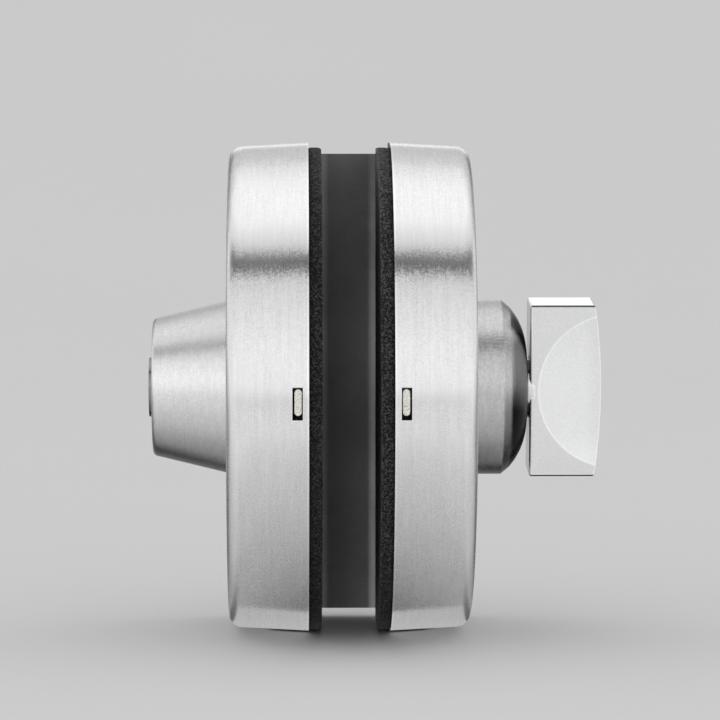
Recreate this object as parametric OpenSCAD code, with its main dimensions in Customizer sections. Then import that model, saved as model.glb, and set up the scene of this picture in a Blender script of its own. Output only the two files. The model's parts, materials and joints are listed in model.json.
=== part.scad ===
// Glass door lock: two D-shaped covers clamp the edge of a glass door, a key works it from one side and a
// turn knob from the other. X runs through the glass from the key side to the knob side, Z is up, and Y
// points from the round front of the covers to their flat side, where the bolt comes out.

/* [Clamp] */
// Thickness of the glass that the lock clamps
glass_t = 12; // [10:0.5:14]
// Thickness of each foam pad
pad_t = 2.75; // [2:0.25:3.5]
// How far each pad's edge lies inside the cover's outline
pad_inset = 0.7; // [0.4:0.1:2]
// How far the pads sit low on their bases
pad_drop = 0.4; // [0:0.1:0.6]
// Depth of the spine bar, from the glass edge to the flat side
spine_d = 8; // [7:0.5:9]
// How far the spine bar's ends lie inside the covers' outline
spine_inset = 2.5; // [1.6:0.1:3]
// Wall of the spine bar between the glass edge and the bolt
spine_wall = 2.7; // [2:0.1:3]
// Distance of the inner clamp screws from the middle
clamp_in_z = 22; // [20:0.5:24]
// Distance of the outer clamp screws from the middle
clamp_out_z = 40; // [38:0.5:41]

/* [Covers] */
// Height of the covers
body_h = 105; // [100:1:116]
// Distance from the boss axis to the flat side
axis_to_flat = 24; // [23:0.5:28]
// Depth of each cover, from its open rim to its face
cover_d = 17; // [16.5:0.5:20]
// Sheet thickness of the covers
cover_wall = 1.2; // [1:0.1:1.5]
// Draft of the covers' rims, in degrees
cover_draft = 3; // [1:0.5:3.5]
// Rounding between a cover's face and its rim
cover_edge_r = 2.8; // [2:0.1:3.4]
// Corner radius of the covers at the flat side
flat_corner_r = 7; // [6.5:0.5:9]
// Width of the release window in the rim
window_w = 2.1; // [2:0.1:2.6]
// Height of the release window
window_h = 6.6; // [6:0.1:9]
// Distance from the open rim to the release window
window_in = 1.3; // [1:0.1:1.6]
// Distance of the two hook windows in the flat side from the middle
hook_z = 34; // [30:0.5:38]

/* [Bases] */
// Thickness of the cast base plates
base_t = 3; // [2.8:0.1:3.5]
// Thickness of the low wall round each base
tray_wall = 1.6; // [1.2:0.1:2]
// Height of the low wall above the base plate
tray_h = 3.75; // [3:0.25:4.5]
// Clearance between a base and the cover over it
base_gap = 0.15; // [0.1:0.05:0.3]
// Clearance between a snap lug and the face side of its window
lug_gap = 0.4; // [0.3:0.05:0.5]
// How far the snap lugs end below the covers' surface
lug_below = 0.5; // [0.3:0.1:0.8]
// Depth of the recess round each snap lug, into the base
lug_recess_d = 3; // [2:0.1:3.4]
// Width of the slot that frees the snap tongue
tongue_slot = 1.2; // [1:0.1:1.6]
// Half the length of the snap tongue
tongue_half = 9; // [8:0.5:12]
// Depth of the snap tongue behind the low wall
tongue_d = 3; // [2:0.5:4]

/* [Key side boss] */
// Radius of the tapered boss at the cover
key_boss_r = 18.65; // [17:0.05:20]
// Radius of the tapered boss at its end
key_boss_end_r = 14.65; // [13.5:0.05:15.5]
// Length of the tapered boss
key_boss_l = 16.4; // [15:0.1:19]
// Rounding at the end of the tapered boss
key_boss_edge_r = 1.1; // [0.6:0.1:1.5]
// Thickness of the boss's end round the plug
key_boss_end_t = 2.6; // [2:0.1:3.5]

/* [Knob side boss] */
// Radius of the domed boss
dome_r = 18.85; // [17:0.05:20]
// Length of the straight band of the domed boss
dome_band_l = 6.85; // [5.5:0.05:7.5]
// Length of the domed boss
dome_l = 12.4; // [12:0.1:14]
// Radius of the flat end of the domed boss
dome_end_r = 7.6; // [7.2:0.1:9]
// Radius of the domed boss's profile
dome_arc_r = 14.6; // [14:0.2:17]
// Length of the sloped shoulder between the band and the dome
dome_shoulder_l = 1.8; // [1.2:0.1:2.2]

/* [Boss mounting] */
// Radius of the threaded neck of each boss, inside the cover
spigot_r = 11; // [10.5:0.1:11.5]
// Thickness of the hexagon nuts
nut_t = 3.2; // [2.5:0.1:3.4]
// Width of the hexagon nuts across their flats
nut_w = 27; // [26:0.5:30]

/* [Lock cylinder] */
// Radius of the lock cylinder's body
lock_cyl_r = 8.95; // [8.6:0.05:9.2]
// Radius of the plug that the key turns
plug_r = 6.4; // [6.2:0.05:6.6]
// How far the plug stands proud of the boss
plug_proud = 0.85; // [0.5:0.05:1.5]
// Width of the keyway
keyway_w = 2.2; // [1.8:0.1:2.6]
// Height of the keyway
keyway_h = 8.4; // [7.6:0.1:9]
// Number of wafers in the plug
wafer_n = 5; // [3:1:5]
// Thickness of a wafer
wafer_t = 1; // [0.8:0.05:1.1]
// Distance from one wafer to the next
wafer_pitch = 2.5; // [2.3:0.1:2.6]
// Thickness of the plug's retaining clip
clip_t = 0.65; // [0.5:0.05:0.7]
// Thickness of the tail bar
tail_t = 1.6; // [1.3:0.1:1.8]
// Width of the tail bar
tail_w = 6; // [5.5:0.1:6.2]

/* [Bolt drive] */
// Module of the pinion and rack teeth
gear_m = 1.25; // [1.2:0.01:1.3]
// Number of teeth on each pinion
pinion_n = 12; // [12:1:13]
// Height of the pinion's teeth above its pitch circle, in modules
pinion_tip = 0.9; // [0.8:0.05:0.95]
// Height of the rack's teeth above its pitch line, in modules
rack_tip = 0.68; // [0.6:0.02:0.7]
// Play between the teeth along the pitch line
gear_play = 0.24; // [0.2:0.02:0.4]
// Turn of the knob that throws the bolt fully, in degrees
knob_throw = 90; // [80:1:90]
// Radius of the pinion's inner journal
journal_r = 4; // [3.6:0.1:4.2]
// Radius of the pinion's hub
hub_r = 6; // [5.8:0.1:6.2]
// Thickness of the slides
slide_t = 3; // [2.8:0.1:3.4]
// Height of the slides and the guides between them
slide_h = 26; // [25:0.5:28]
// Clearance between the slides and their guides
slide_gap = 0.3; // [0.2:0.05:0.35]
// Thickness of the guide caps
cap_t = 1.5; // [1.2:0.1:1.8]
// Width of the guide rails
rail_w = 5; // [4.6:0.1:6]
// Height of the bolt
bolt_h = 22; // [20:0.5:23]

/* [Knob] */
// Height of the knob
knob_h = 37.1; // [34:0.1:40]
// Thickness of the knob
knob_t = 13; // [12:0.1:14]
// Length of the knob, from its neck to its outer face
knob_l = 15.5; // [14:0.05:17]
// Radius of the knob's curved outer face
knob_face_r = 116; // [80:1:140]
// Bevel on the knob's edges
knob_bevel = 0.35; // [0.2:0.05:0.6]
// Length of the knob's round neck between the boss and the grip
neck_l = 0.45; // [0.3:0.05:1.2]
// Radius of the knob's round neck
neck_r = 6.65; // [6.4:0.05:7]
// Radius of the round shaft that turns in the boss
shaft_r = 6; // [5.8:0.05:6.1]
// Outline radius of the finger scoop on the side of the knob
scoop_r = 16.7; // [15:0.1:17]
// Deepest point of the finger scoop
scoop_depth = 1.6; // [1.2:0.1:4]
// How far the finger scoop's middle lies beyond the outer face
scoop_out = 3.1; // [2:0.1:4]
// Lean of the knob at rest, in degrees
knob_lean = 5.4; // [0:0.1:10]
// Width of the square spindle across its flats
spindle_w = 6; // [5.6:0.1:6.2]

/* [Fasteners] */
// Radius of the small screws
screw_r = 1.5; // [1.3:0.05:1.6]
// Radius of the small screws' heads
screw_head_r = 2.75; // [2.5:0.05:2.8]

/* [Hidden] */
$fn = 96;

// clearances that several pieces share, and how far a cut reaches past what it cuts
run_gap = 0.06;
fixed_gap = 0.05;
screw_gap = 0.15;
bolt_gap = 0.4;
pocket_gap = 0.2;
cut = 1;
// angle by which a rounded edge starts early, so that wall and rounding cross cleanly
edge_lap = 1.5;

// distances from the middle of the glass to each layer of one half
rim_u = glass_t / 2 + pad_t;
face_u = rim_u + cover_d;
inner_face_u = face_u - cover_wall;
base_u = rim_u + base_t;
slide_u = base_u + slide_gap;
slide_top_u = slide_u + slide_t;
rail_top_u = slide_top_u + slide_gap;
cap_top_u = rail_top_u + cap_t;
hub_proud = 0.75;
hub_top_u = cap_top_u + hub_proud;
nut_u = inner_face_u - nut_t;
spigot_proud = 0.55;
spigot_u = nut_u - spigot_proud;

// outline of one half, seen along X
cover_r = body_h / 2;
base_inset = cover_wall + tan(cover_draft) * (base_t + tray_h) + base_gap;
spine_y = axis_to_flat - spine_d;
bolt_back_y = spine_y + spine_wall + pocket_gap;
base_flat_y = axis_to_flat - base_inset;
spigot_hole_r = spigot_r + 2 * fixed_gap;

// snap lugs and the tongue that carries the front one
lug_into_base = 0.6;
lug_root = lug_recess_d + lug_into_base;
window_u = rim_u + window_in;
lug_rim_gap = 0.2;
lug_u = window_u + lug_rim_gap;
lug_t = window_w - lug_rim_gap - lug_gap;
lug_low = 0.9;
lug_high = 0.3;
recess_more = 0.1;

// pinion, rack and slides
pitch_r = gear_m * pinion_n / 2;
tooth_pitch = PI * gear_m;
pressure = 20;
base_circle_r = pitch_r * cos(pressure);
tip_r = pitch_r + pinion_tip * gear_m;
tooth_clear = 0.25;
tooth_foot = 0.5;
root_r = pitch_r - rack_tip * gear_m - tooth_clear;
rack_root_z = -tip_r - tooth_clear;
rack_tip_z = -pitch_r + rack_tip * gear_m;
flank_steps = 4;
flank_radii = [for (i = [0 : flank_steps]) base_circle_r + (tip_r - base_circle_r) * i / flank_steps];
throw = pitch_r * knob_throw * PI / 180;
slot_clear = 1.1;
slot_top_clear = 0.7;
slot_end_wall = 3.5;
slot_front_y = tip_r + slot_clear;
slot_back_y = -throw - tip_r - slot_clear;
slot_top_z = tip_r + slot_top_clear;
slide_back_y = slot_back_y - slot_end_wall;
slide_step = 0.25;
slide_wide_y = slot_front_y + slide_step;
rack_spare = 12;
rack_teeth = ceil((throw + rack_spare) / tooth_pitch);
guide_past_slide = 1;
guide_past_spine = 2;
guide_back_y = slide_back_y - guide_past_slide;
guide_front_y = spine_y + guide_past_spine;
rail_z = slide_h / 2 + slide_gap;
bolt_screw_edge = 4;
bolt_screw_z = bolt_h / 2 - bolt_screw_edge;
bolt_screw_y = axis_to_flat - screw_head_r - slide_gap;
bolt_screw_l = 6;
cone_l = screw_head_r - screw_r;

// hexagon sockets in the screw heads
hex_r = 1.25;
hex_d = 1;

// knob, spindle and the rings on the knob's shaft
pinion_floor_t = 0.85;
end_play = 0.3;
pinion_floor_u = rim_u + pinion_floor_t;
journal_u = pinion_floor_u + end_play;
socket_u = slide_u + end_play;
dome_u = face_u + dome_l;
counterbore_d = 8.35;
shoulder_u = dome_u - counterbore_d;
knob_counterbore_r = 8.2;
washer_t = 0.9;
circlip_t = 0.8;
circlip_gap = 0.4;
groove_d = 0.7;
groove_end_wall = 1.1;
groove_u = shoulder_u - washer_t - circlip_t - 3 * fixed_gap;
groove_r = shaft_r - groove_d;
shaft_end_u = groove_u - groove_end_wall;
neck_u = dome_u + fixed_gap;
knob_u = neck_u + neck_l;
knob_end_u = knob_u + knob_l;
spindle_in_grip = 2;
spindle_end_u = knob_u + spindle_in_grip;

// lock cylinder, plug, wafers and tail bar
key_boss_end_u = face_u + key_boss_l;
plug_end_u = key_boss_end_u + plug_proud;
plug_hole_gap = 0.35;
plug_hole_r = plug_r + plug_hole_gap;
cyl_past_face = 1.95;
lock_cyl_front_u = key_boss_end_u - key_boss_end_t - fixed_gap;
lock_cyl_back_u = inner_face_u - cyl_past_face;
plug_past_cyl = 1.3;
plug_back_u = lock_cyl_back_u - plug_past_cyl;
clip_in = 0.55;
clip_u = plug_back_u + clip_in;
clip_groove_r = plug_r - groove_d;
clip_reach = 1.5;
clip_r = plug_r + clip_reach;
tail_in_plug = 3.9;
tail_slot_u = plug_back_u + tail_in_plug;
tail_from_slide = 0.95;
tail_inner_u = slide_u + tail_from_slide;
bow_floor_gap = 0.4;
bow_r = tail_w / 2 + end_play;
wafer_first_in = 2.2;
wafer_first_u = lock_cyl_front_u - wafer_first_in;
wafer_w = 5.2;
wafer_below = 0.1;
wafer_h = 2 * sqrt((plug_r - wafer_below) * (plug_r - wafer_below) - wafer_w * wafer_w / 4);
wafer_step = 0.4;
wafer_groove_side = 0.3;
wafer_groove_end = 0.6;
wafer_groove_d = 1.4;
key_window_gap = 0.3;
key_window_less = 2.4;

// places of the clamp screws and of the guide cap screws
clamp_y = base_flat_y - screw_head_r - screw_gap;
clamp_places = [for (s = [-1, 1], z = [clamp_in_z, clamp_out_z]) [clamp_y, s * z]];
clamp_head_l = 3;
clamp_end_in = 0.55;
clamp_end_u = base_u - clamp_end_in;
cap_screw_places = [
    for (s = [-1, 1], y = [guide_back_y + rail_w / 2, guide_front_y - rail_w / 2])
        [y, s * (rail_z + rail_w / 2)]
];
cap_head_l = 1.8;

// Stands a flat shape drawn in Y and Z on its edge, with its thickness along X
module across() {
    rotate([90, 0, 90]) children();
}

// Turns a half made for the knob side into the one for the key side
module key_side() {
    mirror([1, 0, 0]) children();
}

// A plain disc round the boss axis between two distances from the glass
module disc(u1, u2, r) {
    translate([u1, 0, 0]) across() cylinder(h = u2 - u1, r = r);
}

// A round hole of radius r along X, at a place in Y and Z
module hole(u1, u2, r, place) {
    translate([u1, place[0], place[1]]) across() cylinder(h = u2 - u1, r = r);
}

// Outermost part of a cover's section, as wide as its corner radius: drafted wall and rounded edge
module edge_section(corner, depth, r) {
    a = cover_draft - edge_lap;
    z = depth - r + r * sin(a);
    cx = corner - z * tan(cover_draft) - r * cos(a);
    polygon([[0, 0], [corner, 0], [cx + r * cos(a), z], [cx, depth], [0, depth]]);
    translate([cx, depth - r]) circle(r = r);
}

// Half of a cover's section, from the middle out to its rim
module rim_section(reach, corner, depth, r) {
    square([reach - corner, depth]);
    translate([reach - corner, 0]) edge_section(corner, depth, r);
}

// The drafted D-shaped block that a cover's outside and inside are both cut from
module d_block(inset, depth, r) {
    reach = cover_r - inset;
    flat = axis_to_flat - inset;
    corner = flat_corner_r - inset;
    across() {
        rotate([0, 0, 90]) rotate_extrude(angle = 180) rim_section(reach, corner, depth, r);
        rotate([90, 0, 90]) linear_extrude(flat - corner) {
            rim_section(reach, corner, depth, r);
            mirror([1, 0]) rim_section(reach, corner, depth, r);
        }
        translate([flat - corner, reach - corner, 0]) rotate([90, 0, 0])
            linear_extrude(2 * (reach - corner)) edge_section(corner, depth, r);
        for (s = [-1, 1]) translate([flat - corner, s * (reach - corner), 0])
            rotate([0, 0, s > 0 ? 0 : -90]) rotate_extrude(angle = 90) edge_section(corner, depth, r);
    }
}

// The D outline in Y and Z, drawn inset from the covers' edge
module d_outline(inset) {
    reach = cover_r - inset;
    flat = axis_to_flat - inset;
    corner = flat_corner_r - inset;
    difference() {
        circle(r = reach);
        translate([0, -reach - cut]) square([reach + cut, 2 * (reach + cut)]);
    }
    translate([0, -reach]) square([flat - corner, 2 * reach]);
    translate([0, corner - reach]) square([flat, 2 * (reach - corner)]);
    for (s = [-1, 1]) translate([flat - corner, s * (reach - corner)]) circle(r = corner);
}

// A flat D-shaped plate between two distances from the glass
module d_plate(u1, u2, inset) {
    translate([u1, 0, 0]) across() linear_extrude(u2 - u1) d_outline(inset);
}

// The cuts for the three snap lugs: one window at the round front, two in the flat side
module lug_windows() {
    translate([window_u, -cover_r - cut, -window_h / 2]) cube([window_w, cover_wall + 3 * cut, window_h]);
    for (s = [-1, 1]) translate([window_u, axis_to_flat - cover_wall - 2 * cut, s * hook_z - window_h / 2])
        cube([window_w, cover_wall + 3 * cut, window_h]);
}

// The recesses round the snap lugs, a little larger than their windows
module lug_recesses() {
    w = window_w + 2 * recess_more;
    h = window_h + 2 * recess_more;
    translate([window_u - recess_more, -cover_r, -h / 2]) cube([w, base_inset + lug_recess_d, h]);
    for (s = [-1, 1]) translate([window_u - recess_more, base_flat_y - lug_recess_d, s * hook_z - h / 2])
        cube([w, base_inset + lug_recess_d, h]);
}

// A snap lug with rounded ends, reaching from inside the base to just under the cover's surface
module snap_lug(length) {
    low = -window_h / 2 + lug_low;
    high = window_h / 2 - lug_high;
    rotate([90, 0, 0]) linear_extrude(length) {
        translate([lug_u, low + lug_t / 2]) square([lug_t, high - low - lug_t]);
        for (z = [low + lug_t / 2, high - lug_t / 2])
            translate([lug_u + lug_t / 2, z]) circle(r = lug_t / 2);
    }
}

// Drawn stainless cover with its rim windows, its boss hole and the bolt's way out
module cover() {
    difference() {
        translate([rim_u, 0, 0]) d_block(0, cover_d, cover_edge_r);
        translate([rim_u, 0, 0]) d_block(cover_wall, cover_d - cover_wall, cover_edge_r - cover_wall);
        lug_windows();
        disc(inner_face_u - cut, face_u + cut, spigot_hole_r);
        translate([rim_u - cut, axis_to_flat - cover_wall - 2 * cut, -bolt_h / 2 - bolt_gap])
            cube([rail_top_u - rim_u + cut, cover_wall + 3 * cut, bolt_h + 2 * bolt_gap]);
    }
}

// Cast zinc base: plate, low wall, guide rails, pinion seat and snap lugs
module base(screw_hole_r) {
    difference() {
        union() {
            difference() {
                d_plate(rim_u, base_u + tray_h, base_inset);
                d_plate(base_u, base_u + tray_h + cut, base_inset + tray_wall);
                translate([base_u, base_flat_y - tray_wall - cut, flat_corner_r - cover_r])
                    cube([tray_h + cut, tray_wall + 2 * cut, 2 * (cover_r - flat_corner_r)]);
                lug_recesses();
            }
            for (s = [-1, 1])
                translate([rim_u + cut, guide_back_y, s * (rail_z + rail_w / 2) - rail_w / 2])
                    cube([rail_top_u - rim_u - cut, guide_front_y - guide_back_y, rail_w]);
            translate([0, -cover_r + base_inset + lug_root, 0])
                snap_lug(base_inset + lug_root - lug_below);
            for (s = [-1, 1]) translate([0, axis_to_flat - lug_below, s * hook_z])
                snap_lug(base_inset + lug_root - lug_below);
        }
        disc(pinion_floor_u, base_u + cut, journal_r + run_gap);
        for (p = clamp_places) hole(rim_u - cut, base_u + cut, screw_hole_r, p);
        for (p = cap_screw_places) hole(base_u, rail_top_u + cut, screw_r, p);
        translate([rim_u - cut, -cover_r + base_inset + tray_wall + tongue_d, -tongue_half])
            cube([base_t + 2 * cut, tongue_slot, 2 * tongue_half]);
        translate([rim_u - cut, bolt_back_y - pocket_gap, -bolt_h / 2 - bolt_gap])
            cube([base_t + 2 * cut, base_flat_y, bolt_h + 2 * bolt_gap]);
    }
}

// Foam pad on the glass side of a base, up to the spine bar
module pad() {
    difference() {
        translate([0, 0, -pad_drop]) d_plate(glass_t / 2, rim_u, pad_inset);
        translate([glass_t / 2 - cut, spine_y - end_play, -body_h])
            cube([pad_t + 2 * cut, body_h, 2 * body_h]);
    }
}

// Slide plate: its slot clears the pinion and carries the rack along its lower edge
module slide() {
    difference() {
        translate([slide_u, 0, 0]) across() linear_extrude(slide_t) difference() {
            union() {
                translate([slide_back_y, -slide_h / 2]) square([slide_wide_y - slide_back_y, slide_h]);
                translate([slot_front_y, -bolt_h / 2]) square([axis_to_flat - slot_front_y, bolt_h]);
            }
            difference() {
                translate([slot_back_y, rack_root_z])
                    square([slot_front_y - slot_back_y, slot_top_z - rack_root_z]);
                for (i = [2 - rack_teeth : 1]) rack_tooth((i + 0.5) * tooth_pitch);
            }
        }
        for (s = [-1, 1]) translate([slide_u - cut, bolt_screw_y, s * bolt_screw_z]) across() {
            cylinder(h = slide_t + 2 * cut, r = screw_r + screw_gap);
            translate([0, 0, slide_t + cut - cone_l])
                cylinder(h = cone_l, r1 = screw_r + screw_gap, r2 = screw_head_r + screw_gap);
            translate([0, 0, slide_t + cut]) cylinder(h = cut, r = screw_head_r + screw_gap);
        }
    }
}

// One straight-sided rack tooth with its middle at y, let into the slide by its foot
module rack_tooth(y) {
    half = (tooth_pitch - gear_play) / 4;
    foot = half + (-pitch_r - rack_root_z) * tan(pressure);
    tip = half - (rack_tip_z + pitch_r) * tan(pressure);
    translate([y, 0]) polygon([
        [-foot, rack_root_z], [-foot, rack_root_z - tooth_foot],
        [foot, rack_root_z - tooth_foot], [foot, rack_root_z],
        [tip, rack_tip_z], [-tip, rack_tip_z]
    ]);
}

// Angle that the involute of the base circle has turned through at radius r
function involute(r) = sqrt(r * r / (base_circle_r * base_circle_r) - 1) * 180 / PI - acos(base_circle_r / r);
// Half of a pinion tooth's angle at radius r
function tooth_half(r) = (tooth_pitch - gear_play) / 4 / pitch_r * 180 / PI + involute(pitch_r) - involute(r);
// Outline of one pinion tooth, from its root up one flank and down the other
function tooth_side(side, middle) = [
    for (r = concat([root_r], flank_radii))
        let (a = middle + side * tooth_half(max(r, base_circle_r))) r * [cos(a), sin(a)]
];
function reversed(points) = [for (i = [len(points) - 1 : -1 : 0]) points[i]];

// Flat outline of the pinion in Y and Z, with one tooth pointing straight down into the rack
module pinion_outline() {
    polygon([
        for (i = [0 : pinion_n - 1])
            let (middle = -90 + i * 360 / pinion_n)
            each concat(tooth_side(-1, middle), reversed(tooth_side(1, middle)))
    ]);
}

// Toothed wheel with its journal in the base and its hub in the guide cap
module pinion_body() {
    disc(journal_u, hub_top_u, journal_r);
    translate([slide_u, 0, 0]) across() linear_extrude(slide_t) pinion_outline();
    disc(slide_top_u, hub_top_u, hub_r);
}

// Plate that keeps the slide down and carries the pinion's hub
module guide_cap() {
    difference() {
        translate([rail_top_u, guide_back_y, -rail_z - rail_w])
            cube([cap_t, guide_front_y - guide_back_y, 2 * (rail_z + rail_w)]);
        disc(rail_top_u - cut, cap_top_u + cut, hub_r + run_gap);
        for (p = cap_screw_places) hole(rail_top_u - cut, cap_top_u + cut, screw_r + screw_gap, p);
    }
}

// Hexagon nut that pulls a boss against its cover from inside
module boss_nut() {
    difference() {
        translate([nut_u, 0, 0]) across() cylinder(h = nut_t, r = nut_w / 2 / cos(30), $fn = 6);
        disc(nut_u - cut, inner_face_u + cut, spigot_r + fixed_gap);
    }
}

// Socket head screw along X, from its tip to the distance at which its head stands
module socket_screw(tip_u, seat_u, head_l, place) {
    translate([0, place[0], place[1]]) difference() {
        union() {
            disc(tip_u, seat_u, screw_r - fixed_gap);
            disc(seat_u, seat_u + head_l, screw_head_r);
        }
        translate([seat_u + head_l - hex_d, 0, 0]) across() cylinder(h = hex_d + cut, r = hex_r, $fn = 6);
    }
}

module key_side_cover() {
    color("lightgray") key_side() cover();
}

module knob_side_cover() {
    color("lightgray") cover();
}

module key_side_base() {
    color("wheat") key_side() base(screw_r + screw_gap);
}

module knob_side_base() {
    color("wheat") base(screw_r);
}

module key_side_pad() {
    color("black") key_side() pad();
}

module knob_side_pad() {
    color("black") pad();
}

// Outline of the spine bar in Y and Z, rounded where the covers' corners are
module spine_outline() {
    reach = cover_r - spine_inset;
    corner = flat_corner_r - spine_inset;
    intersection() {
        translate([spine_y, -reach]) square([spine_d, 2 * reach]);
        union() {
            translate([0, -reach]) square([axis_to_flat - corner, 2 * reach]);
            translate([0, corner - reach]) square([axis_to_flat, 2 * (reach - corner)]);
            for (s = [-1, 1]) translate([axis_to_flat - corner, s * (reach - corner)]) circle(r = corner);
        }
    }
}

// Spine bar that the glass edge stops against, with the bolt's pocket in its outer side
module spine_bar() {
    color("dimgray") difference() {
        translate([-rim_u, 0, 0]) across() linear_extrude(2 * rim_u) spine_outline();
        translate([-rim_u - cut, bolt_back_y - pocket_gap, -bolt_h / 2 - bolt_gap])
            cube([2 * rim_u + 2 * cut, spine_d, bolt_h + 2 * bolt_gap]);
        for (p = clamp_places) hole(-rim_u - cut, rim_u + cut, screw_r + screw_gap, p);
    }
}

// Screws that draw the two bases together through the spine bar
module clamp_screws() {
    color("silver") key_side() for (p = clamp_places) socket_screw(-clamp_end_u, base_u, clamp_head_l, p);
}

// Tapered boss that holds the lock cylinder
module key_side_boss() {
    taper = atan((key_boss_r - key_boss_end_r) / key_boss_l);
    r = key_boss_edge_r;
    cx = key_boss_r - (key_boss_l - r) * tan(taper) - r / cos(taper);
    color("silver") key_side() difference() {
        translate([face_u, 0, 0]) across() rotate_extrude() {
            polygon([
                [0, 0], [key_boss_r, 0], [cx + r * cos(taper), key_boss_l - r + r * sin(taper)],
                [cx, key_boss_l], [0, key_boss_l]
            ]);
            translate([cx, key_boss_l - r]) circle(r = r);
            translate([0, spigot_u - face_u]) square([spigot_r, face_u - spigot_u]);
        }
        disc(spigot_u - cut, lock_cyl_front_u + fixed_gap, lock_cyl_r + fixed_gap);
        disc(lock_cyl_front_u, key_boss_end_u + cut, plug_hole_r);
    }
}

module key_side_nut() {
    color("silver") key_side() boss_nut();
}

// Domed boss that the knob turns in
module knob_side_boss() {
    arc_x = dome_l - dome_arc_r;
    shoulder = dome_band_l + dome_shoulder_l;
    shoulder_r = dome_end_r + sqrt(dome_arc_r * dome_arc_r - (shoulder - arc_x) * (shoulder - arc_x));
    color("silver") difference() {
        translate([face_u, 0, 0]) across() rotate_extrude() {
            polygon([
                [0, spigot_u - face_u], [spigot_r, spigot_u - face_u], [spigot_r, 0], [dome_r, 0],
                [dome_r, dome_band_l], [shoulder_r, shoulder], [dome_end_r, dome_l], [0, dome_l]
            ]);
            intersection() {
                translate([dome_end_r, arc_x]) circle(r = dome_arc_r);
                translate([dome_end_r, shoulder]) square([dome_r, dome_l - shoulder]);
            }
        }
        disc(spigot_u - cut, shoulder_u, knob_counterbore_r);
        disc(shoulder_u - cut, dome_u + cut, shaft_r + run_gap);
    }
}

module knob_side_nut() {
    color("silver") boss_nut();
}

// Body of the key lock, screwed into its boss, with grooves that the wafers lock into
module lock_cylinder() {
    groove_l = (wafer_n - 1) * wafer_pitch + wafer_t + 2 * wafer_groove_end;
    groove_w = wafer_w + 2 * wafer_groove_side;
    groove_h = 2 * (plug_r + wafer_groove_d);
    color("goldenrod") key_side() difference() {
        disc(lock_cyl_back_u, lock_cyl_front_u, lock_cyl_r);
        disc(lock_cyl_back_u - cut, lock_cyl_front_u + cut, plug_r + run_gap);
        translate([wafer_first_u + wafer_t + wafer_groove_end - groove_l, -groove_w / 2, -groove_h / 2])
            cube([groove_l, groove_w, groove_h]);
    }
}

// Plug that the key turns: keyway, wafer slots, clip groove and a slot for the tail bar
module key_plug() {
    color("gold") key_side() difference() {
        disc(plug_back_u, plug_end_u, plug_r);
        translate([tail_slot_u + 1, -keyway_w / 2, -keyway_h / 2])
            cube([plug_end_u - tail_slot_u, keyway_w, keyway_h]);
        for (i = [0 : wafer_n - 1])
            translate([wafer_first_u - i * wafer_pitch - fixed_gap, -wafer_w / 2 - fixed_gap, -plug_r - cut])
                cube([wafer_t + 2 * fixed_gap, wafer_w + 2 * fixed_gap, 2 * (plug_r + cut)]);
        translate([plug_back_u - cut, -tail_t / 2 - fixed_gap, -tail_w / 2 - fixed_gap])
            cube([tail_slot_u - plug_back_u + cut, tail_t + 2 * fixed_gap, tail_w + 2 * fixed_gap]);
        difference() {
            disc(clip_u, clip_u + clip_t + fixed_gap, plug_r + cut);
            disc(clip_u - cut, clip_u + clip_t + cut, clip_groove_r);
        }
    }
}

// Spring wafers with a key window in each, at the height that a fitting key gives them
module wafers() {
    color("darkkhaki") key_side() for (i = [0 : wafer_n - 1])
        translate([wafer_first_u - i * wafer_pitch, 0, 0]) across() linear_extrude(wafer_t) difference() {
            square([wafer_w, wafer_h], center = true);
            translate([0, (i % 3 - 1) * wafer_step])
                square([keyway_w + key_window_gap, keyway_h - key_window_less], center = true);
        }
}

// Open retaining ring in the groove at the back of the plug
module plug_clip() {
    u = clip_u + fixed_gap / 2;
    mouth = 1.4 * clip_groove_r;
    color("dimgray") key_side() difference() {
        disc(u, u + clip_t, clip_r);
        disc(u - cut, u + clip_t + cut, clip_groove_r + fixed_gap);
        translate([u - cut, -mouth / 2, -2 * plug_r]) cube([clip_t + 2 * cut, mouth, 2 * plug_r]);
    }
}

// Flat bar from the plug to the key side pinion
module tail_bar() {
    color("silver") key_side() translate([tail_inner_u, -tail_t / 2, -tail_w / 2])
        cube([tail_slot_u - fixed_gap - tail_inner_u, tail_t, tail_w]);
}

// Key side pinion: the bow-tie hole lets the tail bar return without moving the bolt
module key_pinion() {
    edge = tail_t / 2 + fixed_gap;
    color("khaki") key_side() difference() {
        pinion_body();
        translate([tail_inner_u - bow_floor_gap, 0, 0]) across() linear_extrude(hub_top_u) difference() {
            circle(r = bow_r);
            translate([-bow_r - cut - edge, edge]) square(bow_r + cut);
            translate([edge, -bow_r - cut - edge]) square(bow_r + cut);
        }
    }
}

// Knob side pinion, driven by the square spindle
module knob_pinion() {
    hole_w = spindle_w + 2 * fixed_gap;
    color("khaki") difference() {
        pinion_body();
        rotate([knob_lean, 0, 0]) translate([socket_u, -hole_w / 2, -hole_w / 2])
            cube([cover_d, hole_w, hole_w]);
    }
}

module key_side_slide() {
    color("steelblue") key_side() slide();
}

module knob_side_slide() {
    color("steelblue") slide();
}

// Cross piece of the bolt, between the two slides
module bolt_head() {
    nose = 0.6;
    half = slide_u;
    depth = axis_to_flat - bolt_back_y;
    hole_l = bolt_screw_l + screw_gap;
    color("lightsteelblue") difference() {
        translate([0, bolt_back_y, -bolt_h / 2]) linear_extrude(bolt_h) polygon([
            [-half, 0], [half, 0], [half, depth - nose], [half - nose, depth],
            [nose - half, depth], [-half, depth - nose]
        ]);
        for (side = [-1, 1], s = [-1, 1])
            translate([side > 0 ? half - hole_l : -half - cut, bolt_screw_y, s * bolt_screw_z])
                across() cylinder(h = hole_l + cut, r = screw_r);
    }
}

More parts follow.
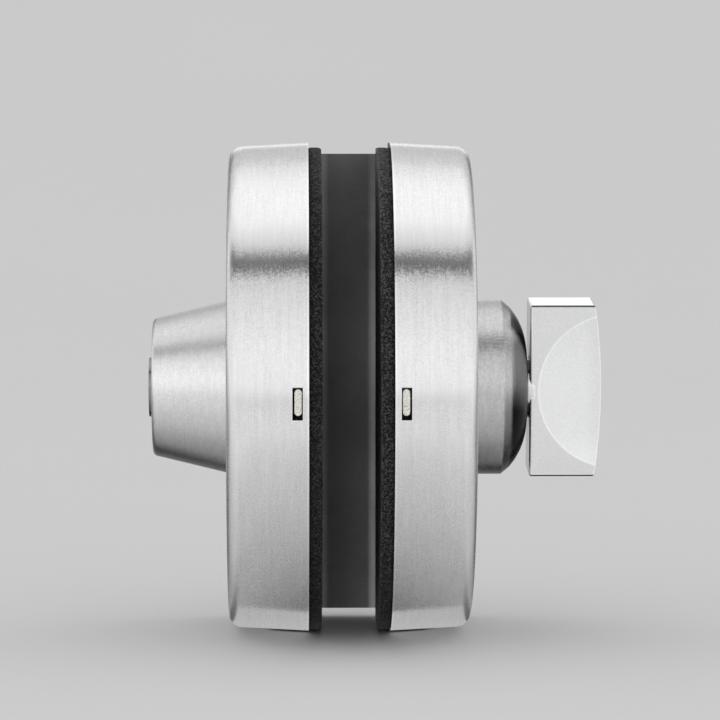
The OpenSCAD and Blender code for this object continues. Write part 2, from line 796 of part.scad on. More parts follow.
// Countersunk screws that fix the slides to the bolt's cross piece
module bolt_screws() {
    color("silver") for (side = [0, 1], s = [-1, 1]) mirror([side, 0, 0])
        translate([0, bolt_screw_y, s * bolt_screw_z]) difference() {
            union() {
                disc(slide_u - bolt_screw_l, slide_top_u, screw_r - fixed_gap);
                translate([slide_top_u - cone_l, 0, 0]) across()
                    cylinder(h = cone_l, r1 = screw_r - fixed_gap, r2 = screw_head_r - fixed_gap);
            }
            translate([slide_top_u - hex_d, 0, 0]) across() cylinder(h = hex_d + cut, r = hex_r, $fn = 6);
        }
}

module key_side_guide_cap() {
    color("gainsboro") key_side() guide_cap();
}

module knob_side_guide_cap() {
    color("gainsboro") guide_cap();
}

// Screws that hold both guide caps on their rails
module guide_cap_screws() {
    color("silver") for (side = [0, 1]) mirror([side, 0, 0])
        for (p = cap_screw_places) socket_screw(base_u + end_play, cap_top_u, cap_head_l, p);
}

// Flat outline of the knob in X and Z: straight at the neck, gently curved at the outer face
module knob_outline() {
    b = knob_bevel;
    side = sqrt(knob_face_r * knob_face_r - knob_h * knob_h / 4) - knob_face_r + knob_l;
    intersection() {
        translate([knob_l - knob_face_r, 0]) circle(r = knob_face_r, $fn = 180);
        polygon([
            [b, -knob_h / 2], [side - b, -knob_h / 2], [side + b, -knob_h / 2 + 2 * b],
            [2 * knob_l, -knob_h / 2 + 2 * b], [2 * knob_l, knob_h / 2 - 2 * b],
            [side + b, knob_h / 2 - 2 * b], [side - b, knob_h / 2], [b, knob_h / 2],
            [0, knob_h / 2 - b], [0, b - knob_h / 2]
        ]);
    }
}

// A rectangle with bevelled corners, centred
module bevelled(w, h, b) {
    polygon([
        [b - w / 2, -h / 2], [w / 2 - b, -h / 2], [w / 2, b - h / 2], [w / 2, h / 2 - b],
        [w / 2 - b, h / 2], [b - w / 2, h / 2], [-w / 2, h / 2 - b], [-w / 2, b - h / 2]
    ]);
}

// Thumb-turn: bevelled grip with a finger scoop on each side, neck and round shaft in one piece
module knob() {
    ball_r = (scoop_r * scoop_r + scoop_depth * scoop_depth) / 2 / scoop_depth;
    hole_w = spindle_w + 2 * fixed_gap;
    color("whitesmoke") rotate([knob_lean, 0, 0]) difference() {
        union() {
            intersection() {
                translate([knob_u, knob_t / 2, 0]) rotate([90, 0, 0]) linear_extrude(knob_t) knob_outline();
                translate([knob_u - cut, 0, 0]) across() linear_extrude(knob_l + 2 * cut)
                    bevelled(knob_t, knob_h, knob_bevel);
                translate([knob_u + knob_l / 2, 0, -knob_h]) linear_extrude(2 * knob_h)
                    bevelled(knob_l, knob_t, knob_bevel);
            }
            disc(neck_u, knob_u + cut, neck_r);
            disc(shaft_end_u, knob_u + cut, shaft_r);
        }
        for (s = [-1, 1])
            translate([knob_end_u + scoop_out, s * (knob_t / 2 - scoop_depth + ball_r), 0])
                sphere(r = ball_r);
        translate([shaft_end_u - cut, -hole_w / 2, -hole_w / 2])
            cube([spindle_end_u + fixed_gap - shaft_end_u + cut, hole_w, hole_w]);
        difference() {
            disc(groove_u, groove_u + circlip_t + fixed_gap, shaft_r + cut);
            disc(groove_u - cut, groove_u + circlip_t + cut, groove_r);
        }
    }
}

// Square bar from the knob to its pinion
module spindle() {
    color("silver") rotate([knob_lean, 0, 0])
        translate([socket_u + fixed_gap, -spindle_w / 2, -spindle_w / 2])
            cube([spindle_end_u - socket_u - fixed_gap, spindle_w, spindle_w]);
}

// Open ring in the shaft's groove that keeps the knob in the boss
module knob_circlip() {
    u = groove_u + fixed_gap / 2;
    mouth = 1.2 * groove_r;
    color("dimgray") rotate([knob_lean, 0, 0]) difference() {
        disc(u, u + circlip_t, knob_counterbore_r - circlip_gap);
        disc(u - cut, u + circlip_t + cut, groove_r + fixed_gap);
        translate([u - cut, -mouth / 2, -2 * shaft_r]) cube([circlip_t + 2 * cut, mouth, 2 * shaft_r]);
    }
}

// Friction washer between the circlip and the boss
module knob_washer() {
    color("gainsboro") difference() {
        disc(shoulder_u - washer_t - fixed_gap, shoulder_u - fixed_gap, knob_counterbore_r - screw_gap);
        disc(shoulder_u - washer_t - cut, shoulder_u + cut, shaft_r + 2 * fixed_gap);
    }
}

key_side_cover();
knob_side_cover();
key_side_base();
knob_side_base();
key_side_pad();
knob_side_pad();
spine_bar();
clamp_screws();
key_side_boss();
key_side_nut();
knob_side_boss();
knob_side_nut();
lock_cylinder();
key_plug();
wafers();
plug_clip();
tail_bar();
key_pinion();
knob_pinion();
key_side_slide();
knob_side_slide();
bolt_head();
bolt_screws();
key_side_guide_cap();
knob_side_guide_cap();
guide_cap_screws();
knob();
spindle();
knob_circlip();
knob_washer();
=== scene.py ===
"""Looks of a clamp-on glass door lock: brushed covers and bosses, foam pads, dark spine, polished knob."""

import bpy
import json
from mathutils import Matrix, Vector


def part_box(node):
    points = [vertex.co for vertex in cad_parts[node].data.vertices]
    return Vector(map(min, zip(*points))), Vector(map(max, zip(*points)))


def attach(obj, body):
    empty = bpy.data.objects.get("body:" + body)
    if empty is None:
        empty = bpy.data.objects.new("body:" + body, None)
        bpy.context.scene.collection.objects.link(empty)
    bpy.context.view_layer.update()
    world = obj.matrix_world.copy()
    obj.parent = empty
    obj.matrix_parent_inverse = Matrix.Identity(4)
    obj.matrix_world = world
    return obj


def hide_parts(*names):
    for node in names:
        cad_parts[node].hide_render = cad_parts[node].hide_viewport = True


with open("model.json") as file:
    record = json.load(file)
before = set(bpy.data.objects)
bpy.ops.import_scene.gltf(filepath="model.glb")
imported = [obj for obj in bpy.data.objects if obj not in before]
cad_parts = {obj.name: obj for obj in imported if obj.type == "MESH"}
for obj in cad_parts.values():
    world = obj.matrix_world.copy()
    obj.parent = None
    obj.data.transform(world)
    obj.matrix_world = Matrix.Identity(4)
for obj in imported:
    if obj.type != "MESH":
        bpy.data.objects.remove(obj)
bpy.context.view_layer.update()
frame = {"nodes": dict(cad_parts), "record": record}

import json
import math

import bmesh
import bpy
from bpy.props import FloatProperty, FloatVectorProperty, IntProperty, PointerProperty
from mathutils import Vector

bl_info = {
    "name": "Glass door lock",
    "version": (1, 0, 0),
    "blender": (4, 5, 0),
    "location": "3D View > Sidebar > Glass lock",
    "description": "Dresses a clamp-on lock for a glass door and sets its studio",
    "category": "Object",
}

FINISHES = {m["slot"]: m for m in frame["record"]["materials"]}
MM = 0.001
WHITE = (1.0, 1.0, 1.0, 1.0)
X_AXIS, Y_AXIS, Z_AXIS = (1.0, 0.0, 0.0), (0.0, 1.0, 0.0), (0.0, 0.0, 1.0)
OFF_X = (0.0, 1.0, 1.0)  # a vector times this keeps only its part square to the X axis
ROUNDING = {  # radius that the normals are rounded over at edges
    "sheet": 0.45 * MM, "turned": 0.15 * MM, "shade": 1.2 * MM, "knob": 0.42 * MM, "cast": 0.15 * MM,
    "steel": 0.12 * MM, "spine": 0.2 * MM,
}
# Graded cards: places along each card, in metres, and the share of its level that it has there
NEAR_SHARES = ((-0.17, 1.0), (-0.04, 0.66), (-0.02, 0.43), (-0.005, 0.34), (0.012, 0.26))
HIGH_SHARES = ((0.45, 0.56), (0.94, 0.66), (1.29, 0.75), (2.08, 0.92), (3.0, 1.0))
EDGE_SHARES = ((-0.06, 0.72), (-0.045, 0.58), (-0.03, 0.38), (-0.02, 0.2), (-0.01, 0.14), (0.012, 0.1))


def written_colour(slot):
    """The record's base colour of a material slot, with alpha."""
    return (*FINISHES[slot]["base_color"], 1.0)


class Wiring:
    """Adds nodes to a tree and links or sets their inputs in one go."""

    def __init__(self, tree):
        self.tree = tree

    def feed(self, socket, value):
        if isinstance(value, bpy.types.NodeSocket):
            self.tree.links.new(value, socket)
        else:
            socket.default_value = value

    def node(self, kind, inputs=None, **settings):
        made = self.tree.nodes.new(kind)
        for name, value in settings.items():
            setattr(made, name, value)
        for name, value in (inputs or {}).items():
            self.feed(made.inputs[name], value)
        return made

    def math(self, operation, *values, clamp=False):
        made = self.tree.nodes.new("ShaderNodeMath")
        made.operation = operation
        made.use_clamp = clamp
        for socket, value in zip(made.inputs, values):
            self.feed(socket, value)
        return made.outputs[0]

    def vector(self, operation, *values, out="Vector"):
        made = self.tree.nodes.new("ShaderNodeVectorMath")
        made.operation = operation
        for socket, value in zip(made.inputs, values):
            self.feed(socket, value)
        return made.outputs[out]

    def scaled(self, vector, factor):
        made = self.tree.nodes.new("ShaderNodeVectorMath")
        made.operation = "SCALE"
        self.feed(made.inputs["Vector"], vector)
        self.feed(made.inputs["Scale"], factor)
        return made.outputs["Vector"]

    def span(self, value, low, high, to_low=0.0, to_high=1.0, smooth=False):
        made = self.node("ShaderNodeMapRange", {
            "Value": value, "From Min": low, "From Max": high, "To Min": to_low, "To Max": to_high,
        })
        if smooth:
            made.interpolation_type = "SMOOTHSTEP"
        return made.outputs["Result"]

    def mix(self, factor, low, high, kind="FLOAT"):
        made = self.node("ShaderNodeMix", data_type=kind)
        place = {"FLOAT": 0, "VECTOR": 1, "RGBA": 2}[kind]
        self.feed(made.inputs[0], factor)
        ends = [s for s in made.inputs if s.name in ("A", "B")]
        self.feed(ends[2 * place], low)
        self.feed(ends[2 * place + 1], high)
        return made.outputs[place]

    def noise(self, vector, scale=1.0, detail=2.0, roughness=0.5):
        return self.node("ShaderNodeTexNoise", {
            "Vector": vector, "Scale": scale, "Detail": detail, "Roughness": roughness,
        }).outputs["Fac"]

    def place(self):
        """Object coordinates."""
        return self.node("ShaderNodeTexCoord").outputs["Object"]

    def normal(self):
        """Normal of the surface, as it was modelled."""
        return self.node("ShaderNodeNewGeometry").outputs["Normal"]

    def parts(self, vector):
        """X, Y and Z of a vector."""
        return self.node("ShaderNodeSeparateXYZ", {"Vector": vector}).outputs

    def absolute(self, value):
        return self.math("ABSOLUTE", value)

    def bump(self, height, strength, distance, **normal):
        """A normal bent by a height: the one given, or else the surface's own."""
        return self.node("ShaderNodeBump", {
            "Height": height, "Strength": strength, "Distance": distance, **normal,
        }).outputs["Normal"]

    def use(self, group, **inputs):
        made = self.node("ShaderNodeGroup")
        made.node_tree = bpy.data.node_groups[group]
        for name, value in inputs.items():
            self.feed(made.inputs[name.replace("_", " ")], value)
        return made.outputs


def new_group(name, inputs, outputs):
    """A shader node group with named sockets, and the wiring inside it."""
    tree = bpy.data.node_groups.new(name, "ShaderNodeTree")
    for socket, kind, default in inputs:
        made = tree.interface.new_socket(socket, in_out="INPUT", socket_type="NodeSocket" + kind)
        if default is not None:
            made.default_value = default
    for socket, kind in outputs:
        tree.interface.new_socket(socket, in_out="OUTPUT", socket_type="NodeSocket" + kind)
    wiring = Wiring(tree)
    return wiring, wiring.node("NodeGroupInput").outputs, wiring.node("NodeGroupOutput").inputs


def streaks_group():
    """Long fine scratches: a tone and a lean that follow a stretched space."""
    w, given, out = new_group(
        "Streaks",
        [("Vector", "Vector", None), ("Stretch", "Vector", (1.0, 1.0, 1.0)), ("Contrast", "Float", 1.0)],
        [("Tone", "Float"), ("Lean", "Float")],
    )
    space = w.vector("MULTIPLY", given["Vector"], given["Stretch"])
    coarse_share, fine_share, apart = 0.45, 0.55, (31.0, 17.0, 5.0)
    coarse = w.noise(space, scale=0.35, roughness=0.6)
    fine = w.noise(w.vector("ADD", space, apart), detail=3.0, roughness=0.65)
    both = w.math("ADD", w.math("MULTIPLY", coarse, coarse_share), w.math("MULTIPLY", fine, fine_share))
    spread = w.math("MULTIPLY", w.math("SUBTRACT", both, 0.5), given["Contrast"])
    w.feed(out["Tone"], w.math("ADD", spread, 0.5, clamp=True))
    w.feed(out["Lean"], w.math("SUBTRACT", fine, 0.5))


def turned_space_group():
    """Space in which circles round the X axis are long and everything across them is short."""
    w, given, out = new_group(
        "Turned space",
        [("Vector", "Vector", None), ("Along", "Float", 1.0)],
        [("Space", "Vector"), ("Round", "Vector")],
    )
    radial = w.vector("MULTIPLY", given["Vector"], OFF_X)
    radius = w.vector("LENGTH", radial, out="Value")
    outward = w.vector("NORMALIZE", radial)
    turn = w.parts(w.scaled(outward, given["Along"]))
    across = w.math("SUBTRACT", w.absolute(w.parts(given["Vector"])["X"]), radius)
    w.feed(out["Space"], w.node("ShaderNodeCombineXYZ", {
        "X": across, "Y": turn["Y"], "Z": turn["Z"],
    }).outputs["Vector"])
    w.feed(out["Round"], w.vector("CROSS_PRODUCT", X_AXIS, outward))


def soft_edge_group():
    """Rounds the normal at sharp edges and tells where they are."""
    w, given, out = new_group(
        "Soft edge", [("Radius", "Float", 0.2 * MM)],
        [("Normal", "Vector"), ("Edge", "Float"), ("Crease", "Float")],
    )
    bevel = w.node("ShaderNodeBevel", {"Radius": given["Radius"]}, samples=4).outputs["Normal"]
    turn = w.vector("DOT_PRODUCT", w.normal(), bevel, out="Value")
    w.feed(out["Normal"], bevel)
    w.feed(out["Edge"], w.span(turn, 0.999, 0.93))
    w.feed(out["Crease"], w.span(turn, 0.9999, 0.999))


def cells_group():
    """Small open cells or casting grain."""
    w, given, out = new_group(
        "Cells",
        [("Vector", "Vector", None), ("Size", "Float", MM)],
        [("Wall", "Float"), ("Tone", "Float"), ("Height", "Float"), ("Random", "Float")],
    )
    scale = w.math("DIVIDE", 1.0, given["Size"])
    cell = w.node("ShaderNodeTexVoronoi", {"Vector": given["Vector"], "Scale": scale}, feature="F1").outputs
    speckle = w.noise(given["Vector"], w.math("MULTIPLY", scale, 1.7), roughness=0.7)
    w.feed(out["Wall"], w.span(cell["Distance"], 0.35, 0.75))
    w.feed(out["Tone"], speckle)
    w.feed(out["Height"], w.math("ADD", cell["Distance"], w.math("MULTIPLY", speckle, 0.5)))
    w.feed(out["Random"], w.parts(cell["Color"])["X"])


def handling_group():
    """Broad faint patches, as on metal that has been wiped and handled."""
    w, given, out = new_group(
        "Handling", [("Vector", "Vector", None), ("Size", "Float", 12 * MM)], [("Patch", "Float")],
    )
    scale = w.math("DIVIDE", 1.0, given["Size"])
    patch = w.noise(given["Vector"], scale, detail=3.0, roughness=0.55)
    w.feed(out["Patch"], w.span(patch, 0.32, 0.68, smooth=True))


def shift_normal(w, normal, direction, lean, amount):
    """Leans a normal along a direction, by amount times lean."""
    push = w.scaled(direction, w.math("MULTIPLY", lean, amount))
    return w.vector("NORMALIZE", w.vector("ADD", normal, push))


def new_material(name):
    """An empty material with a Principled BSDF, its wiring and the shader node."""
    made = bpy.data.materials.new(name)
    made.use_nodes = True
    made.node_tree.nodes.clear()
    w = Wiring(made.node_tree)
    shader = w.node("ShaderNodeBsdfPrincipled")
    w.node("ShaderNodeOutputMaterial", {"Surface": shader.outputs["BSDF"]})
    return made, w, shader


def toned(w, colour, tone, low, high):
    """A colour made darker or brighter by a tone from 0 to 1."""
    return w.scaled(tuple(colour[:3]), w.span(tone, 0.0, 1.0, low, high))


def capped(w, colour):
    """A colour that reflects no more than all the light."""
    return w.vector("MINIMUM", colour, (1.0, 1.0, 1.0))


def brushed_sheet(finish):
    """Drawn stainless sheet: grain round the rim, straight up and down on the face."""
    made, w, shader = new_material("brushed stainless sheet")
    place, normal = w.place(), w.normal()
    on_face = w.span(w.absolute(w.parts(normal)["X"]), 0.75, 0.95, smooth=True)
    across, along = finish.grain_across / MM, finish.grain_along / MM
    rim = w.use("Streaks", Vector=place, Stretch=(across, along, along), Contrast=finish.grain_contrast)
    face = w.use("Streaks", Vector=place, Stretch=(along, across, along), Contrast=finish.grain_contrast)
    speckle = w.use("Cells", Vector=place, Size=finish.speckle)["Random"]
    speckle_share, speckle_lean = 0.35, 0.6
    tone = w.mix(speckle_share, w.mix(on_face, rim["Tone"], face["Tone"]), speckle)
    lean = w.math("ADD", w.mix(on_face, rim["Lean"], face["Lean"]),
                  w.math("MULTIPLY", w.math("SUBTRACT", speckle, 0.5), speckle_lean))
    # Painted shade darkens the windows' cut edges, which face along the rim and lie within window_end of the
    # middle; a painted highlight brightens the rounded edges and the lip at the gap.
    edge = w.use("Soft edge", Radius=ROUNDING["sheet"])
    outward = w.vector("NORMALIZE", w.vector("MULTIPLY", place, OFF_X))
    turned = w.absolute(w.vector("DOT_PRODUCT", normal, outward, out="Value"))
    off_middle = w.absolute(w.parts(place)["X"])
    window_end = 18 * MM
    # Painted shade on the windows' cut edges.
    shaded_cut_edge = w.math("MULTIPLY", w.span(turned, 0.5, 0.3),
                      w.span(off_middle, window_end + 2 * MM, window_end))
    rim_end, lip_width = -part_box("key_side_cover")[1].x, 0.2 * MM
    # Painted highlight: the base colour is raised on the rounded edges and along the lip at the gap.
    lip = w.math("MAXIMUM", edge["Edge"], w.span(off_middle, rim_end + 2 * lip_width, rim_end + lip_width))
    painted_highlight = w.math("ADD", 1.0, w.math("MULTIPLY", lip, finish.edge_highlight))
    unlit = 0.12
    shaded = w.scaled(toned(w, finish.stainless, tone, 0.86, 1.14), w.mix(shaded_cut_edge, painted_highlight, unlit))
    w.feed(shader.inputs["Base Color"], capped(w, shaded))
    patch = w.use("Handling", Vector=place)["Patch"]
    w.feed(shader.inputs["Roughness"], w.math(
        "ADD", w.span(tone, 0.0, 1.0, 0.25, 0.285), w.math("MULTIPLY", patch, 0.02)))
    shader.inputs["Metallic"].default_value = 1.0
    shader.inputs["Anisotropic"].default_value = 0.8
    round_rim = w.vector("NORMALIZE", w.vector("CROSS_PRODUCT", X_AXIS, normal))
    grain = w.vector("NORMALIZE", w.mix(on_face, round_rim, Z_AXIS, "VECTOR"))
    w.feed(shader.inputs["Tangent"], w.vector("CROSS_PRODUCT", grain, normal))
    w.feed(shader.inputs["Normal"], shift_normal(w, edge["Normal"], grain, lean, finish.grain_lean))
    return made


def turned_metal(finish, name, colour, low, high, grainy=1.0, end_shade=1.0, side_shade=1.0, shade=None):
    """Turned metal: fine rings round the X axis; factors paint shade on its flat ends and its round side, and
    shade paints light and shade by the normal.
    """
    made, w, shader = new_material(name)
    place, normal = w.place(), w.normal()
    space = w.use("Turned space", Vector=place, Along=12 * MM)
    round_stretch = 900.0
    rings = w.use("Streaks", Vector=space["Space"], Contrast=finish.grain_contrast,
                  Stretch=(finish.grain_across / MM, round_stretch, round_stretch))
    grit = w.use("Cells", Vector=place, Size=finish.speckle)
    speckle_share, speckle_lean, spread = 0.4, 0.3, 0.12 * grainy
    tone = w.mix(speckle_share, rings["Tone"], grit["Random"])
    # Painted shade: end_shade darkens the flat ends and side_shade the round side.
    level = w.span(w.absolute(w.parts(normal)["X"]), 0.985, 0.998, side_shade, end_shade)
    shaded = w.scaled(toned(w, colour, tone, 1.0 - spread, 1.0 + spread), level)
    # Painted light and shade from the shade factor, which also dims the specular tint at grazing angles.
    if shade:
        factor = shade(w, w.use("Soft edge", Radius=ROUNDING["shade"])["Normal"])
        shaded = w.scaled(shaded, factor)
        grazing = w.span(factor, 0.0, 1.0, 0.45, 1.0)
        w.feed(shader.inputs["Specular Tint"], w.scaled(WHITE[:3], grazing))
    w.feed(shader.inputs["Base Color"], capped(w, shaded))
    w.feed(shader.inputs["Roughness"], w.span(tone, 0.0, 1.0, low, high))
    shader.inputs["Metallic"].default_value = 1.0
    shader.inputs["Anisotropic"].default_value = 0.6
    w.feed(shader.inputs["Tangent"], w.vector("CROSS_PRODUCT", space["Round"], normal))
    lean = w.math("ADD", rings["Lean"], w.math(
        "MULTIPLY", w.math("SUBTRACT", grit["Random"], 0.5), speckle_lean))
    edge = w.use("Soft edge", Radius=ROUNDING["turned"])
    leaned = shift_normal(w, edge["Normal"], space["Round"], lean, finish.grain_lean * grainy)
    w.feed(shader.inputs["Normal"], w.bump(
        grit["Height"], strength=0.5 * grainy, distance=0.03 * MM, Normal=leaned))
    return made


def taper_shade(w, normal):
    """Painted highlight and shade: a factor that brightens the tapered boss above the middle of its front and
    darkens it on top.
    """
    height, painted_highlight, painted_shade_level = w.parts(normal)["Z"], 1.1, 0.82
    return w.span(height, 0.5, 0.72, w.span(height, -0.1, 0.1, 1.0, painted_highlight), painted_shade_level)


def dome_shade(w, normal):
    """Painted shade: a factor that darkens the dome where it curves in towards the knob, most of all below.
    """
    parts, painted_shade_level, dark = w.parts(normal), 0.36, 0.06
    above = w.span(parts["X"], 0.6, 0.8, 1.0, w.span(parts["Z"], 0.36, 0.5, painted_shade_level, 1.0))
    below = w.span(parts["X"], 0.58, 0.74, 1.0, dark)
    return w.mix(w.span(parts["Z"], 0.04, -0.14), above, below)


def polished_metal(finish):
    """Polished knob with a soft bloom, rounded edges and faint handling marks; painted shade on its inner
    face, painted light on its sides and a painted highlight along the scoop's crease.
    """
    made, w, shader = new_material("polished knob")
    place, normal = w.place(), w.node("ShaderNodeTexCoord").outputs["Normal"]
    hair = w.use("Streaks", Vector=place, Stretch=(900.0, 900.0, 120.0), Contrast=0.6)
    tone = w.mix(0.6, hair["Tone"], w.use("Cells", Vector=place, Size=finish.speckle)["Random"])
    signed, parts = w.parts(normal), w.parts(w.vector("ABSOLUTE", normal))
    unlit = 0.12
    # Painted shade: the face turned towards the dome is darkened.
    inside = w.span(signed["X"], -0.8, -0.95, 1.0, unlit)
    # Painted light: on the sides the flat face is painted darker and the scoop lighter where it faces down.
    on_side, scooped = w.span(parts["Y"], 0.8, 0.95), w.span(signed["X"], 0.02, 0.08)
    level = w.mix(on_side, 1.0, w.mix(scooped, 0.93, w.span(signed["Z"], -0.12, 0.08, 1.06, 1.0)))
    on_bevel = w.math("MULTIPLY", w.span(parts["Y"], 0.35, 0.5), w.span(parts["Z"], 0.35, 0.5))
    line = w.span(on_bevel, 0.5, 0.9, 1.0, unlit)
    edge = w.use("Soft edge", Radius=ROUNDING["knob"])
    # Painted highlight along the crease round the scoop on the sides.
    on_crest = w.math("MULTIPLY", edge["Crease"], on_side)
    crest_highlight, crest_lean = 0.6, 0.3
    crest = w.math("ADD", 1.0, w.math("MULTIPLY", on_crest, crest_highlight))
    factor = w.math("MULTIPLY", w.math("MULTIPLY", inside, line), w.math("MULTIPLY", crest, level))
    w.feed(shader.inputs["Base Color"], capped(w, w.scaled(toned(w, finish.knob, tone, 0.94, 1.04), factor)))
    patch = w.use("Handling", Vector=place, Size=7 * MM)["Patch"]
    w.feed(shader.inputs["Roughness"], w.math(
        "ADD", w.mix(on_side, 0.1, 0.25), w.span(patch, 0.0, 1.0, 0.0, 0.05)))
    shader.inputs["Metallic"].default_value = 1.0
    w.feed(shader.inputs["Normal"], shift_normal(w, edge["Normal"], Z_AXIS, on_crest, crest_lean))
    return made


def cast_metal(name, colour, size, roughness, metallic, depth, shade=None):
    """As-cast or sintered metal with a fine grain, darker where shade gives a lower factor."""
    made, w, shader = new_material(name)
    place = w.place()
    grit = w.use("Cells", Vector=place, Size=size)
    pits = w.span(grit["Tone"], 0.36, 0.46, 0.45, 1.0)
    shaded = w.scaled(toned(w, colour, grit["Tone"], 0.78, 1.18), pits)
    w.feed(shader.inputs["Base Color"], w.scaled(shaded, shade(w, place)) if shade else shaded)
    w.feed(shader.inputs["Roughness"], w.span(grit["Tone"], 0.2, 0.8, roughness, roughness + 0.16))
    shader.inputs["Metallic"].default_value = metallic
    edge = w.use("Soft edge", Radius=ROUNDING["cast"])
    w.feed(shader.inputs["Normal"], w.bump(
        grit["Height"], strength=0.6, distance=depth, Normal=edge["Normal"]))
    return made


def recess_shade(w, place):
    """Factor that darkens a base below the ends of its snap lugs, where the light does not reach."""
    deep, lug_end, unlit = 1.3 * MM, 0.7 * MM, 0.06
    radius = w.vector("LENGTH", w.vector("MULTIPLY", place, OFF_X), out="Value")
    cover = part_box("key_side_cover")[1]
    at_front = w.span(radius, cover.z - deep, cover.z - lug_end, unlit, 1.0)
    at_flat = w.span(w.parts(place)["Y"], cover.y - deep, cover.y - lug_end, unlit, 1.0)
    return w.math("MAXIMUM", at_front, at_flat)


def plated_steel(name, colour, roughness):
    """Plain small steel parts with a fine random scratch."""
    made, w, shader = new_material(name)
    scratch = w.use("Streaks", Vector=w.place(), Stretch=(1500.0, 500.0, 500.0), Contrast=1.0)["Tone"]
    w.feed(shader.inputs["Base Color"], toned(w, colour, scratch, 0.9, 1.1))
    w.feed(shader.inputs["Roughness"], w.span(scratch, 0.0, 1.0, roughness, roughness + 0.12))
    shader.inputs["Metallic"].default_value = 1.0
    w.feed(shader.inputs["Normal"], w.use("Soft edge", Radius=ROUNDING["steel"])["Normal"])
    return made


def spine_coating(finish):
    """Dark satin powder coat with a faint orange peel, a painted highlight along the pads and painted light
    that makes the key side darker.
    """
    made, w, shader = new_material("dark spine coating")
    place, peel_size = w.place(), 0.9 * MM
    peel = w.noise(place, 1.0 / peel_size)
    patch = w.use("Handling", Vector=place, Size=18 * MM)["Patch"]
    fleck = w.use("Cells", Vector=place, Size=finish.speckle)["Tone"]
    parts = w.parts(place)
    fade_start, fade_end = 15 * MM, 50 * MM
    sides, top = parts["X"], w.span(parts["Z"], fade_start, fade_end)
    half, highlight_start, highlight_end, highlight_level = -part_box("key_side_pad")[1].x, 1.8 * MM, 0.7 * MM, 2.2
    # Painted highlight: the base colour and metallic are raised near the pads.
    pad_highlight = w.span(w.absolute(sides), half - highlight_start, half - highlight_end, 1.0, highlight_level)
    # Painted light and shade: darker at the key side, brighter at the knob side lower down, evenly darker at
    # the top.
    graded = w.math("MULTIPLY", w.span(sides, -half, half, 0.7, w.mix(top, 1.45, 0.7)), pad_highlight)
    graded = w.math("MULTIPLY", graded, w.span(fleck, 0.25, 0.75, 0.8, 1.2))
    w.feed(shader.inputs["Base Color"], w.scaled(toned(w, finish.spine, patch, 0.85, 1.15), graded))
    shine = w.math("MULTIPLY", pad_highlight, w.span(sides, -0.3 * half, half, 0.0, w.mix(top, 0.5, 0.2)))
    w.feed(shader.inputs["Metallic"], w.math(
        "ADD", shine, w.span(pad_highlight, 1.0, highlight_level, 0.0, 0.5), clamp=True))
    w.feed(shader.inputs["Roughness"], w.span(peel, 0.3, 0.7, 0.36, 0.46))
    edge = w.use("Soft edge", Radius=ROUNDING["spine"])
    w.feed(shader.inputs["Normal"], w.bump(
        peel, strength=0.25, distance=0.03 * MM, Normal=edge["Normal"]))
    return made


def foam_skin(finish):
    """Black open-cell foam: dark pits with slightly lighter cell walls."""
    made, w, shader = new_material("black foam")
    place = w.place()
    fine = w.use("Cells", Vector=place, Size=finish.foam_cell * 0.7)
    coarse = w.use("Cells", Vector=place, Size=finish.foam_cell)
    flakes = w.math("MULTIPLY", fine["Wall"], w.span(coarse["Tone"], 0.5, 0.57))
    wall = w.math("MAXIMUM", flakes, w.span(fine["Random"], 0.6, 0.95, 0.0, 0.9))
    shade = w.mix(wall, tuple(finish.foam), tuple(finish.foam_wall), "RGBA")
    parts, beside, light_start, light_end = w.parts(place), 8 * MM, 34 * MM, 50 * MM
    # Painted light: the key-side pad darker, the knob-side pad lighter, and both lighter towards the top.
    painted_light = w.math("MULTIPLY", w.span(parts["X"], -beside, beside, 0.65, 1.1),
                  w.span(parts["Z"], light_start, light_end, 1.0, 1.7))
    # Painted light: the flat pressed faces in the dim gap are made up to 2.6 times lighter.
    pressed = w.span(w.absolute(w.parts(w.normal())["X"]), 0.5, 0.9, 1.0, 2.6)
    w.feed(shader.inputs["Base Color"], w.scaled(shade, w.math("MULTIPLY", painted_light, pressed)))
    w.feed(shader.inputs["Roughness"], w.span(coarse["Tone"], 0.3, 0.7, 0.72, 0.92))
    shader.inputs["Specular IOR Level"].default_value = 0.2
    w.feed(shader.inputs["Normal"], w.bump(fine["Height"], strength=0.9, distance=0.12 * MM))
    return made


def dress(material, slot_name, *nodes):
    """Gives CAD nodes a material; slot_name is not used."""
    for name in nodes:
        piece = frame["nodes"][name]
        piece.data.materials.clear()
        piece.data.materials.append(material)


def rectangle(left, right, low, high):
    """Corners of a rectangle, one after another."""
    return (left, low), (right, low), (right, high), (left, high)


def mirrored(outline, sign):
    """An outline on one side or, with the sign -1, on the other."""
    return [(sign * across, along) for across, along in outline]


def shared(shares, level):
    """Levels at the places where a card has shares of one level."""
    return [(place, share * level) for place, share in shares]


def new_piece(name, mesh, material=None):
    """Links a mesh as an object at the origin."""
    if material is not None:
        mesh.materials.append(material)
    made = bpy.data.objects.new(name, mesh)
    bpy.context.scene.collection.objects.link(made)
    return made


def pad_outline(reach, middle, back, step):
    """Points round a pad, from the back corner below, over the round front, to the back corner above."""
    centre = Vector((0.0, 0.0, middle))
    count = max(2, round(back / step))
    low = [centre + Vector((0.0, back - back * i / count, -reach)) for i in range(count)]
    turns = round(math.pi * reach / step)
    front = [
        centre + reach * Vector((0.0, -math.sin(math.pi * i / turns), -math.cos(math.pi * i / turns)))
        for i in range(turns + 1)
    ]
    high = [centre + Vector((0.0, back * (i + 1) / count, reach)) for i in range(count)]
    rise = round(2 * reach / step)
    rear = [centre + Vector((0.0, back, reach - 2 * reach * i / rise)) for i in range(1, rise)]
    return low + front + high + rear


